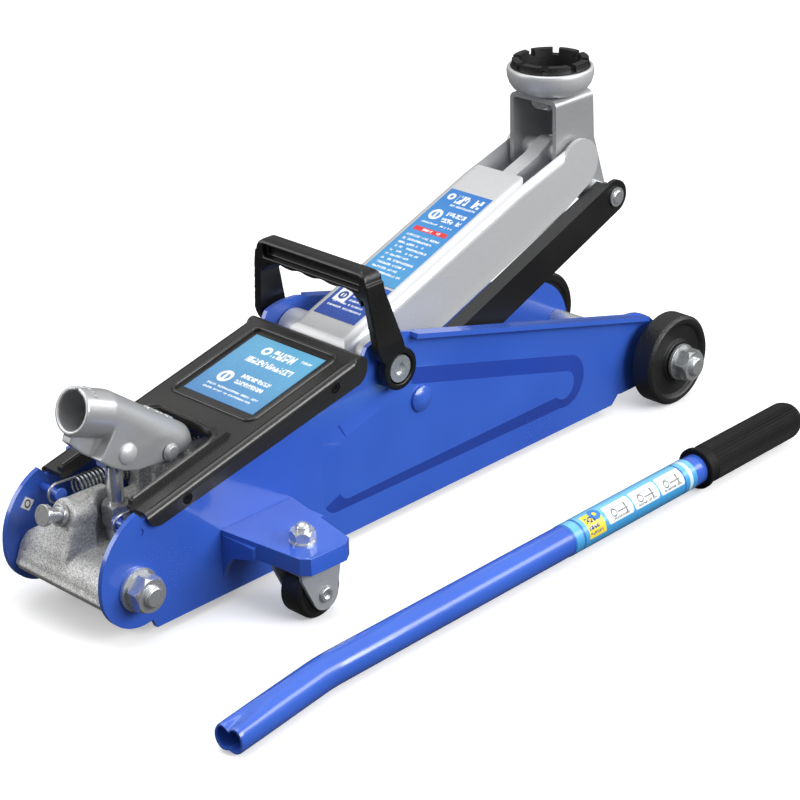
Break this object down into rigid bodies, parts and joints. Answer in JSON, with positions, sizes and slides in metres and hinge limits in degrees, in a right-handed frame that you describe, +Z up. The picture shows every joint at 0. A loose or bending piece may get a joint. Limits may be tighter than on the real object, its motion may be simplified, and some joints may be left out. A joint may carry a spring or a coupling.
{
  "type": "trolley jack",
  "caption": "Low-profile hydraulic trolley jack with fixed front wheels, rear casters, lifting arm with level saddle, carry bail and loose pump handle.",
  "frame": {"origin": "bottom centre of the bounding box of the whole object, on the floor, with the loose pump handle included", "axes": "+X forward, from the handle socket towards the fixed front wheels; +Y the left-hand side of the jack; +Z up"},
  "size_m": [0.5103, 0.2756, 0.2326],
  "materials": {
    "blue_paint": "gloss",
    "silver_paint": "satin",
    "bracket_paint": "satin",
    "black_paint": "satin",
    "casting": "rough",
    "zinc": "satin",
    "steel": "ground",
    "spring_steel": "satin",
    "chrome_rod": "polished",
    "cover_plastic": "satin",
    "handle_plastic": "satin",
    "wheel_plastic": "satin",
    "grip_plastic": "ribbed",
    "rubber": "matt",
    "label": "printed film"
  },
  "bodies": {
    "frame": {"side_plate_left": "blue_paint", "side_plate_right": "blue_paint", "caster_bracket_left": "blue_paint", "caster_bracket_right": "blue_paint", "caster_bolts": "zinc", "caster_nuts": "zinc", "front_axle": "zinc", "axle_spacers": "zinc", "axle_washers": "zinc", "m12_nuts": "zinc", "rear_tie_bolt": "zinc", "rear_washers": "zinc", "hydraulic_block": "casting", "filler_plug": "zinc", "gland_nut": "steel", "ram_cylinder": "silver_paint", "fulcrum_pin": "zinc", "arm_shaft": "steel", "link_rear_rivets": "blue_paint", "top_cover": "cover_plastic", "cover_screws": "black_paint", "cover_label": "label", "plate_sticker": "label", "carry_handle_bolts": "zinc", "spring_anchor_pins": "zinc", "return_spring_left": "spring_steel", "return_spring_right": "spring_steel"},
    "lift_arm": {"lift_arm": "silver_paint", "arm_pivot_tube": "silver_paint", "arm_strut": "silver_paint", "arm_levers": "silver_paint", "lever_pin": "zinc", "saddle_pivot_pin": "silver_paint", "arm_label_front": "label", "arm_label_rear": "label"},
    "saddle_bracket": {"saddle_bracket": "bracket_paint", "link_front_pins": "zinc"},
    "saddle": {"saddle_dish": "silver_paint", "saddle_nut": "zinc", "saddle_pad": "rubber"},
    "tie_link_left": {"tie_link_left": "black_paint"},
    "tie_link_right": {"tie_link_right": "black_paint"},
    "ram": {"ram_rod": "chrome_rod"},
    "front_wheel_left": {"front_wheel_left": "wheel_plastic"},
    "front_wheel_right": {"front_wheel_right": "wheel_plastic"},
    "caster_left": {"caster_fork_left": "zinc", "caster_axle_left": "zinc"},
    "caster_right": {"caster_fork_right": "zinc", "caster_axle_right": "zinc"},
    "caster_wheel_left": {"caster_wheel_left": "wheel_plastic"},
    "caster_wheel_right": {"caster_wheel_right": "wheel_plastic"},
    "carry_handle": {"carry_handle": "handle_plastic"},
    "handle_socket": {"handle_socket": "bracket_paint", "plunger_pin": "zinc"},
    "pump_plunger": {"pump_plunger": "chrome_rod"},
    "release_valve": {"release_valve": "steel"},
    "pump_handle": {"handle_tube": "blue_paint", "handle_grip": "grip_plastic", "handle_label": "label"}
  },
  "joints": [
    {"name": "arm_lift", "type": "hinge", "parent": "frame", "child": "lift_arm", "pos_m": [-0.01675, 0.03178, 0.1005], "axis": [0, -1, 0], "range_deg": [-29.4, 34.8], "deforming": ["return_spring_left", "return_spring_right"]},
    {"name": "saddle_level", "type": "hinge", "parent": "lift_arm", "child": "saddle_bracket", "pos_m": [0.17025, 0.03178, 0.1733], "axis": [0, -1, 0], "range_deg": [-34.8, 29.4]},
    {"name": "link_left_swing", "type": "hinge", "parent": "frame", "child": "tie_link_left", "pos_m": [0.00665, 0.06668, 0.0718], "axis": [0, -1, 0], "range_deg": [-29.4, 34.8]},
    {"name": "link_right_swing", "type": "hinge", "parent": "frame", "child": "tie_link_right", "pos_m": [0.00665, -0.00312, 0.0718], "axis": [0, -1, 0], "range_deg": [-29.4, 34.8]},
    {"name": "ram_stroke", "type": "slide", "parent": "frame", "child": "ram", "axis": [1, 0, 0], "range_m": [-0.02201, 0.02603]},
    {"name": "saddle_spin", "type": "hinge", "parent": "saddle_bracket", "child": "saddle", "pos_m": [0.17275, 0.03178, 0.2075], "axis": [0, 0, 1], "continuous": true},
    {"name": "front_wheel_left_spin", "type": "hinge", "parent": "frame", "child": "front_wheel_left", "pos_m": [0.22515, 0.08978, 0.03], "axis": [0, 1, 0], "continuous": true},
    {"name": "front_wheel_right_spin", "type": "hinge", "parent": "frame", "child": "front_wheel_right", "pos_m": [0.22515, -0.02622, 0.03], "axis": [0, 1, 0], "continuous": true},
    {"name": "caster_left_swivel", "type": "hinge", "parent": "frame", "child": "caster_left", "pos_m": [-0.13075, 0.11828, 0.04], "axis": [0, 0, 1], "continuous": true},
    {"name": "caster_right_swivel", "type": "hinge", "parent": "frame", "child": "caster_right", "pos_m": [-0.13075, -0.05472, 0.04], "axis": [0, 0, 1], "continuous": true},
    {"name": "caster_left_roll", "type": "hinge", "parent": "caster_left", "child": "caster_wheel_left", "pos_m": [-0.12675, 0.11828, 0.016], "axis": [0, 1, 0], "continuous": true},
    {"name": "caster_right_roll", "type": "hinge", "parent": "caster_right", "child": "caster_wheel_right", "pos_m": [-0.12675, -0.05472, 0.016], "axis": [0, 1, 0], "continuous": true},
    {"name": "carry_handle_swing", "type": "hinge", "parent": "frame", "child": "carry_handle", "pos_m": [-0.01675, 0.03178, 0.1005], "axis": [0, -1, 0], "range_deg": [-3, 18]},
    {"name": "socket_rock", "type": "hinge", "parent": "frame", "child": "handle_socket", "pos_m": [-0.15955, 0.03178, 0.0871], "axis": [0, 1, 0], "range_deg": [-24, 22]},
    {"name": "pump_stroke", "type": "slide", "parent": "frame", "child": "pump_plunger", "axis": [0, 0, 1], "range_m": [-0.01233, 0.01131]},
    {"name": "valve_turn", "type": "hinge", "parent": "frame", "child": "release_valve", "pos_m": [-0.21803, 0.04278, 0.0621], "axis": [-0.9397, 0, 0.342], "range_deg": [0, 360]},
    {"name": "handle_lift_off", "type": "slide", "parent": "frame", "child": "pump_handle", "axis": [0, 0, 1], "range_m": [0, 0.15]}
  ],
  "couplings": [
    {"joint": "saddle_level", "follows": "arm_lift", "ratio": -1},
    {"joint": "link_left_swing", "follows": "arm_lift", "ratio": 1},
    {"joint": "link_right_swing", "follows": "arm_lift", "ratio": 1},
    {"joint": "ram_stroke", "follows": "arm_lift", "m_per_rad": 0.0427},
    {"joint": "pump_stroke", "follows": "socket_rock", "m_per_rad": 0.0292}
  ]
}
